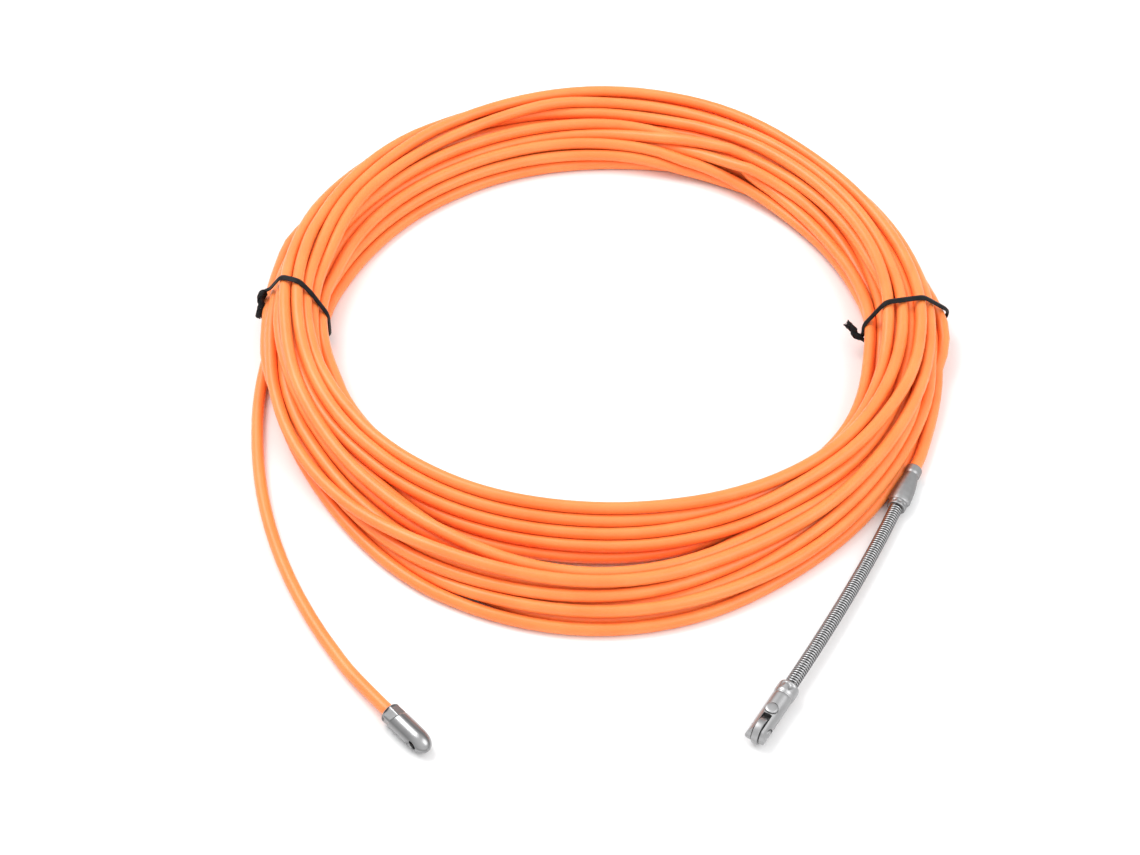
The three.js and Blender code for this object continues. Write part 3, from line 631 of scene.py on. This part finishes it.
spring_line = helix(leader_line(TURNS * TURN_POINTS + 1), (SPRING_D - WIRE_D) / 2, TURNS)
spring = tube("guide_spring_coil", spring_line * MM, ring(DRAWN_WIRE_R * MM, 8))
core_axis = leader_line(160)
core_axis = np.concatenate([[core_axis[0] - heading(LEADER_HEADING) * CORE_SEAT], core_axis,
                            [core_axis[-1] + heading(HEAD_HEADING) * CORE_SEAT]])
cores = [tube(f"spring_core_strand_{n}", helix(core_axis, CORE_LAY, CORE_TURNS, n * TAU / 3) * MM,
              ring(CORE_STRAND_R * MM, 6)) for n in range(3)]
for piece in [spring] + cores:
    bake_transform(piece)
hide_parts("guide_spring")
for piece in cores:
    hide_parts("spring_core_cable")

# roller head: shoulder, body and two ears with the wheel between them
HEAD_AT = SPRING_TO - heading(HEAD_HEADING) * SPRING_INSET
HEAD_R, SHOULDER_R, BLANK_LENGTH = 3.195, 3.395, 23.4  # the blank reaches past the ears that are cut from it
AXLE_X, SLOT_W, SLOT_X = 19.3, 2.8, 14.5
RIVET_X, EAR_R = 12.2, 3.5
# the shoulder's crimps as (degrees, x, half its length, half its width as an angle, depth)
CRIMPS = [(70, 2.3, 1.1, 0.26, 0.5), (118, 2.2, 0.9, 0.24, 0.22), (250, 2.4, 1.0, 0.3, 0.3)]
at_head = placed(HEAD_AT, HEAD_HEADING)


def head_radius(x, t):
    r = HEAD_R
    if x < 4.9:
        r = SHOULDER_R - 0.75 * max(0.0, 1 - x / 1.1) ** 2.2 - 0.2 * max(0.0, (x - 3.9) / 1.0)
    if 4.7 < x < 5.5:
        r -= 0.16 * math.sin(math.pi * (x - 4.7) / 0.8)
    for turn, where, long, wide, deep in CRIMPS:
        taper = max(0.15, 0.75 - 0.5 * (x - where))
        r -= deep * math.exp(-(((x - where) / long) ** 4) - (angle_from(t, turn) / (wide * taper)) ** 2)
    return r


head_xs = fine((0, 1.2, 10), (1.2, 5.6, 34), (5.6, BLANK_LENGTH, 26))
head = skin("roller_head_steel", head_xs, head_radius, 112, at_head, bore=[(0.0, 2.55), (3.5, 2.55)])
ears = [(AXLE_X + EAR_R * math.sin(a), EAR_R * math.cos(a)) for a in np.linspace(0, math.pi, 33)]
rest_of = [(AXLE_X, EAR_R + 4), (AXLE_X + 8, EAR_R + 4), (AXLE_X + 8, -EAR_R - 4), (AXLE_X, -EAR_R - 4)]


def prism(outline, y0, y1, place):
    """A tool extruded along local Y from an (x, z) outline."""
    n = len(outline)
    verts = [(x, y, z) for y in (y0, y1) for x, z in outline]
    faces = [tuple(range(n)), tuple(range(n, 2 * n))[::-1]]
    faces += [(j, n + j, n + (j + 1) % n, (j + 1) % n) for j in range(n)]
    return outward(mesh_piece("tool", [tuple(place @ (Vector(v) * MM)) for v in verts], faces))


ear_tool = prism(rest_of + ears[::-1], -6, 6, at_head)
slot_tool = block((SLOT_X, -SLOT_W / 2, -6), (40, SLOT_W / 2, 6), at_head)
bore_tool = pin([(-9, 0.98), (9, 0.98)], (AXLE_X, 0, 0), (0, 1, 0), at_head, 32)
recess_tools = [pin([(2.5, 1.85), (6, 1.85)], (AXLE_X, 0, 0), (0, s, 0), at_head, 40) for s in (1, -1)]
rivet_seat = pin([(2.25, 2.14), (6, 2.14)], (RIVET_X, 0, 0), (0, 0, 1), at_head, 48)
finish_edges(cut(head, ear_tool, slot_tool, bore_tool, rivet_seat, *recess_tools), 32, bevel=0.09)
rivet = pin([(-1.6, 0.95), (2.3, 0.98), (2.31, 1.9), (3.22, 1.91), (3.4, 1.82), (3.5, 1.62), (3.53, 1.0),
             (3.54, 0.1)], (RIVET_X, 0, 0), (0, 0, 1), at_head, 56, "core_rivet_steel")
axle = pin([(-3.2, 0.5), (-3.1, 1.05), (-2.9, 1.42), (-2.62, 1.5), (-2.6, 0.9), (2.6, 0.901), (2.62, 1.501),
            (2.9, 1.421), (3.1, 1.051), (3.2, 0.501)],
           (AXLE_X, 0, 0), (0, 1, 0), at_head, 48, "roller_axle_steel")
wheel = pin(mirrored([(0.7, WHEEL_R), (0.9, 4.08), (1.0502, 3.9), (1.05001, 3.2), (0.8001, 3.0), (0.8, 2.1),
                      (1.0501, 1.9), (1.05, 1.05)]),
            (AXLE_X, 0, 0), (0, 1, 0), at_head, 72, "roller_wheel_steel")
for turned_piece in (rivet, axle, wheel):
    finish_edges(turned_piece, 35)
for piece, body, node in ((head, "head", "roller_head"), (rivet, "head", "core_rivet"),
                          (axle, "head", "roller_axle"), (wheel, "wheel", "roller_wheel")):
    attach(piece, body)
    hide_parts(node)


# ---------------------------------------------------------------- twist ties (mm)
TIE_WIDTH, TIE_THICKNESS, TIE_GAP, TIE_WIRE_R = 2.2, 1.2, 0.15, 0.25
TIE_WING, TIE_RIB = 0.26, 0.55  # half the thickness of the flat edges, and the reach of the rib over the wire
TIE_SLIP = 0.55  # the strip's two ends pass each other by this much to each side where they meet
MEETING = 2  # points of the loop left out at each side of where the ends meet
TWIST_R, TWIST_BOW, TWIST_POINTS = 0.72, 0.9, 36
WIRE_BURIED, WIRE_SHOWN = 1.5, 0.35


def strands_at(angle):
    """Where the strands cross one angle round the coil, as (r, z)."""
    at = np.arange((start_angle - angle) % 360, turned[-1], 360)
    return np.stack([np.interp(at, turned, settled[:, c]) for c in (0, 1)], -1)


def snug_loop(angle, spacing=0.7):
    """The closed outline a tie follows round the bundle, (r, z), from the outer side over the top."""
    a = np.arange(28) * TAU / 28
    reach = TAPE_R + TIE_GAP + TIE_THICKNESS / 2
    cloud = [(r + reach * math.cos(t), z + reach * math.sin(t)) for r, z in strands_at(angle) for t in a]
    loop = np.array([cloud[i] for i in convex_hull_2d(cloud)])
    steps = np.linalg.norm(np.roll(loop, -1, 0) - loop, axis=1)
    along = np.concatenate([[0], np.cumsum(steps)])
    even = np.linspace(0, along[-1], max(40, int(along[-1] / spacing)), endpoint=False)
    closed = np.concatenate([loop, loop[:1]])
    return np.stack([np.interp(even, along, closed[:, c]) for c in (0, 1)], -1)


def strap(name, line, out, ring_points):
    """A strip swept along the line, its face turned the way out points. ring_points are (across, out)."""
    t = np.gradient(line, axis=0)
    t /= np.linalg.norm(t, axis=1)[:, None]
    across = np.cross(t, out)
    across /= np.linalg.norm(across, axis=1)[:, None]
    face = np.cross(across, t)
    flat, thick = ring_points[None, :, :1], ring_points[None, :, 1:]
    verts = line[:, None] + flat * across[:, None] + thick * face[:, None]
    n, m = verts.shape[:2]
    faces = [(i * m + j, i * m + (j + 1) % m, (i + 1) * m + (j + 1) % m, (i + 1) * m + j)
             for i in range(n - 1) for j in range(m)]
    faces += [tuple(range(m))[::-1], tuple(range((n - 1) * m, n * m))]
    return outward(mesh_piece(name, (verts * MM).reshape(-1, 3), faces))


def sheath_ring():
    """The strip's section: two flat edges and a round rib between them, over the wire."""
    a = np.arange(28) * TAU / 28
    x = TIE_WIDTH / 2 * np.sign(np.cos(a)) * np.abs(np.cos(a)) ** 0.7
    half = TIE_WING + (TIE_THICKNESS / 2 - TIE_WING) * np.exp(-(x / TIE_RIB) ** 2)
    y = half * np.sign(np.sin(a)) * np.abs(np.sin(a)) ** 0.45
    return np.stack([x, y], -1)


def tie(name, angle, skew, meet, tail, length, pitch):
    """One tie: round the bundle, slanting along it by skew as it goes outward, then from meet, in degrees
    round its loop, its two ends twisted together along tail, (outward, along, up)."""
    out_dir = np.array([math.cos(math.radians(angle)), math.sin(math.radians(angle)), 0])
    along_dir = np.array([-out_dir[1], out_dir[0], 0])
    up_dir = np.array([0, 0, 1.0])
    base = np.array([*COIL_CENTRE, 0])
    loop = snug_loop(angle)
    centre = loop.mean(0)
    bearing = np.degrees(np.arctan2(loop[:, 1] - centre[1], loop[:, 0] - centre[0])) % 360
    first = int(np.argmin(np.abs((bearing - meet + 180) % 360 - 180)))
    loop = np.roll(loop, -first, 0)
    lateral = np.linspace(-TIE_SLIP, TIE_SLIP, len(loop)) + skew * (loop[:, 0] - COIL_RADIUS)
    ring_line = base + loop[:, :1] * out_dir + loop[:, 1:] * up_dir + lateral[:, None] * along_dir
    off = loop - centre
    off /= np.linalg.norm(off, axis=1)[:, None]
    step = np.roll(loop, -1, 0) - np.roll(loop, 1, 0)
    normal = np.stack([step[:, 1], -step[:, 0]], -1)
    normal *= np.sign((normal * off).sum(1))[:, None]
    normal /= np.linalg.norm(normal, axis=1)[:, None]
    ring_out = normal[:, :1] * out_dir + normal[:, 1:] * up_dir
    toward = tail[0] * out_dir + tail[1] * along_dir + tail[2] * up_dir
    toward /= np.linalg.norm(toward)
    away = ring_out[0]
    root = ring_line[0] + away + TIE_SLIP * along_dir
    s = np.linspace(0, 1, TWIST_POINTS)[:, None]
    spine = root + toward * length * s + away * TWIST_BOW * np.sin(np.pi * np.minimum(s * 2, 1))
    _, side, up = frames_along(spine)
    start = math.atan2(float(up[0] @ along_dir), float(side[0] @ along_dir))
    phase = start + TAU * length / pitch * s
    radial = np.cos(phase) * side + np.sin(phase) * up
    line = np.concatenate([(spine - TWIST_R * radial)[::-1], ring_line[MEETING:-MEETING],
                           spine + TWIST_R * radial])
    out = np.concatenate([-radial[::-1], ring_out[MEETING:-MEETING], radial])
    line[3:-3] = smoothed(line, 3)[3:-3]
    out = smoothed(out, 5)
    sheath = strap(f"{name}_sheath_strip", line, out, sheath_ring())
    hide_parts(f"{name}_sheath")
    finish_edges(sheath, 40)
    ends = []
    for n, (a, b) in enumerate(((line[0], line[3]), (line[-1], line[-4]))):
        d = (a - b) / np.linalg.norm(a - b)
        stub = tube(f"{name}_wire_end_{n}", np.array([a - d * WIRE_BURIED, a, a + d * WIRE_SHOWN]) * MM,
                    ring(TIE_WIRE_R, 12) * MM)
        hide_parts(f"{name}_wire")
        ends.append(stub)
    for piece in [sheath] + ends:
        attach(piece, "tape")
    return sheath, ends


left_sheath, left_ends = tie("tie_left", LEFT_TIE, -0.3, 20, [0.15, 0.75, -0.65], 9, 7)
right_sheath, right_ends = tie("tie_right", RIGHT_TIE, 0.25, 195, [-0.7, 0.5, 0.5], 7, 7)


# ---------------------------------------------------------------- materials
def material(name, build):
    m = bpy.data.materials.new(name)
    m.use_nodes = True
    nodes, links = m.node_tree.nodes, m.node_tree.links
    shader = nodes["Principled BSDF"]
    build(nodes, links, shader)
    return m


def noise(nodes, links, scale, detail=4.0):
    where = nodes.new("ShaderNodeTexCoord")
    n = nodes.new("ShaderNodeTexNoise")
    n.inputs["Scale"].default_value = scale
    n.inputs["Detail"].default_value = detail
    links.new(where.outputs["Object"], n.inputs["Vector"])
    return n


def ramp_of(nodes, links, source, stops):
    r = nodes.new("ShaderNodeValToRGB")
    while len(r.color_ramp.elements) < len(stops):
        r.color_ramp.elements.new(0.5)
    for e, (at, colour) in zip(r.color_ramp.elements, stops):
        e.position = at
        e.color = (*colour, 1)
    links.new(source, r.inputs["Fac"])
    return r


def vary_gloss(nodes, links, shader, marks, low, high):
    """Roughness between low and high, following the marks."""
    gloss = nodes.new("ShaderNodeMapRange")
    gloss.inputs["To Min"].default_value = low
    gloss.inputs["To Max"].default_value = high
    links.new(marks.outputs["Fac"], gloss.inputs["Value"])
    links.new(gloss.outputs["Result"], shader.inputs["Roughness"])


def add_bump(nodes, links, shader, marks, strength, distance):
    bump = nodes.new("ShaderNodeBump")
    bump.inputs["Strength"].default_value = strength
    bump.inputs["Distance"].default_value = distance
    links.new(marks.outputs["Fac"], bump.inputs["Height"])
    links.new(bump.outputs["Normal"], shader.inputs["Normal"])


def orange_nylon(nodes, links, shader):
    patches = noise(nodes, links, 60.0)
    tint = ramp_of(nodes, links, patches.outputs["Fac"],
                   [(0.35, (1.0, 0.235, 0.052)), (0.65, (1.0, 0.27, 0.068))])
    links.new(tint.outputs["Color"], shader.inputs["Base Color"])
    marks = noise(nodes, links, 900.0)
    vary_gloss(nodes, links, shader, marks, 0.30, 0.42)
    add_bump(nodes, links, shader, marks, 0.06, 0.0001)
    shader.inputs["Subsurface Weight"].default_value = 0.15
    shader.inputs["Subsurface Radius"].default_value = (0.002, 0.0008, 0.0003)
    shader.inputs["Subsurface Scale"].default_value = 1.0


def steel(stops, roughness, grain_scale, bump_strength):
    """A steel finish with painted reflection: its grey follows the stops as the surface turns away from the
    view, painting the bright and dark bands the steel would mirror, with fine marks over it.
    """
    def build(nodes, links, shader):
        marks = noise(nodes, links, grain_scale, 6.0)
        turn = nodes.new("ShaderNodeLayerWeight")
        turn.inputs["Blend"].default_value = 0.45
        # painted reflection: the base grey lightens and darkens with the view angle, standing in for
        # reflected bands and highlights
        painted_reflection_tone = ramp_of(nodes, links, turn.outputs["Facing"],
                       [(at, (grey, grey, grey * 1.01)) for at, grey in stops])
        soil = ramp_of(nodes, links, marks.outputs["Fac"], [(0.3, (0.9, 0.9, 0.9)), (0.7, (1.0, 1.0, 1.0))])
        mix = nodes.new("ShaderNodeMix")
        mix.data_type = "RGBA"
        mix.blend_type = "MULTIPLY"
        mix.inputs["Factor"].default_value = 1.0
        links.new(painted_reflection_tone.outputs["Color"], mix.inputs["A"])
        links.new(soil.outputs["Color"], mix.inputs["B"])
        links.new(mix.outputs["Result"], shader.inputs["Base Color"])
        shader.inputs["Metallic"].default_value = 1.0
        vary_gloss(nodes, links, shader, marks, roughness - 0.07, roughness + 0.09)
        add_bump(nodes, links, shader, marks, bump_strength, 0.0002)
    return build


def black_sheath(nodes, links, shader):
    grain = noise(nodes, links, 500.0)
    tint = ramp_of(nodes, links, grain.outputs["Fac"],
                   [(0.3, (0.006, 0.006, 0.0065)), (0.7, (0.014, 0.014, 0.015))])
    links.new(tint.outputs["Color"], shader.inputs["Base Color"])
    shader.inputs["Roughness"].default_value = 0.45
    shader.inputs["Specular IOR Level"].default_value = 0.12
    add_bump(nodes, links, shader, grain, 0.15, 0.0001)


nylon = material("orange_nylon", orange_nylon)
# each steel: (how far turned away, grey) stops of painted reflection and shade, roughness, the marks' scale
# and their depth
STEELS = {
    "plated_steel": ([(0.0, 0.5), (0.25, 0.19), (0.6, 0.4), (0.95, 0.2)], 0.3, 300.0, 0.04),
    "satin_steel": ([(0.0, 0.48), (0.4, 0.33), (0.7, 0.44), (0.95, 0.24)], 0.36, 250.0, 0.05),
    "worn_steel": ([(0.0, 0.42), (0.5, 0.27), (0.95, 0.22)], 0.42, 500.0, 0.15),
    # the spring's grey runs from bright facing to near black at grazing: painted highlight and painted shade
    # across the round wire
    "spring_steel": ([(0.0, 0.6), (0.3, 0.36), (0.6, 0.1), (0.95, 0.03)], 0.25, 900.0, 0.03),
    # the core is kept dark as painted shade, so the gaps between the spring's turns read dark
    "core_steel": ([(0.0, 0.2), (0.6, 0.1), (0.95, 0.05)], 0.5, 1200.0, 0.2),
    "tie_wire_steel": ([(0.0, 0.55), (0.6, 0.3), (0.95, 0.2)], 0.4, 1500.0, 0.1),
}
steels = {name: material(name, steel(*look)) for name, look in STEELS.items()}
sheath_black = material("black_sheath", black_sheath)
for pieces, finish in (((tape,), nylon), ((eyelet,), steels["plated_steel"]),
                       ((head, rivet, axle, wheel), steels["satin_steel"]),
                       ((ferrule,), steels["worn_steel"]),
                       ((spring,), steels["spring_steel"]), (cores, steels["core_steel"]),
                       (left_ends + right_ends, steels["tie_wire_steel"]),
                       ((left_sheath, right_sheath), sheath_black)):
    for piece in pieces:
        piece.data.materials.clear()
        piece.data.materials.append(finish)


def floor_finish(nodes, links, shader):
    grain = noise(nodes, links, 6.0)
    tint = ramp_of(nodes, links, grain.outputs["Fac"], [(0.3, (0.88, 0.88, 0.885)), (0.7, (0.9, 0.9, 0.9))])
    links.new(tint.outputs["Color"], shader.inputs["Base Color"])
    shader.inputs["Roughness"].default_value = 0.9


bpy.ops.mesh.primitive_plane_add(size=8.0, location=(0, 0, -0.0001))
floor = bpy.context.object
floor.name = "floor"
floor.data.materials.append(material("pale_floor", floor_finish))


def area_light(name, location, target, size, watts):
    data = bpy.data.lights.new(name, "AREA")
    data.size = size
    data.energy = watts
    lamp = bpy.data.objects.new(name, data)
    lamp.location = location
    lamp.rotation_euler = (Vector(target) - Vector(location)).to_track_quat("-Z", "Y").to_euler()
    bpy.context.scene.collection.objects.link(lamp)
    return lamp


area_light("key", (-0.7, 0.5, 1.3), (0, 0, 0), 0.9, 14)
area_light("fill", (0.9, -0.4, 1.1), (0, 0, 0), 1.1, 8)
world = bpy.data.worlds.new("studio")
bpy.context.scene.world = world
world.use_nodes = True
world.node_tree.nodes["Background"].inputs["Color"].default_value = (1, 1, 1, 1)
world.node_tree.nodes["Background"].inputs["Strength"].default_value = 0.9
bpy.context.scene.view_settings.view_transform = "Standard"
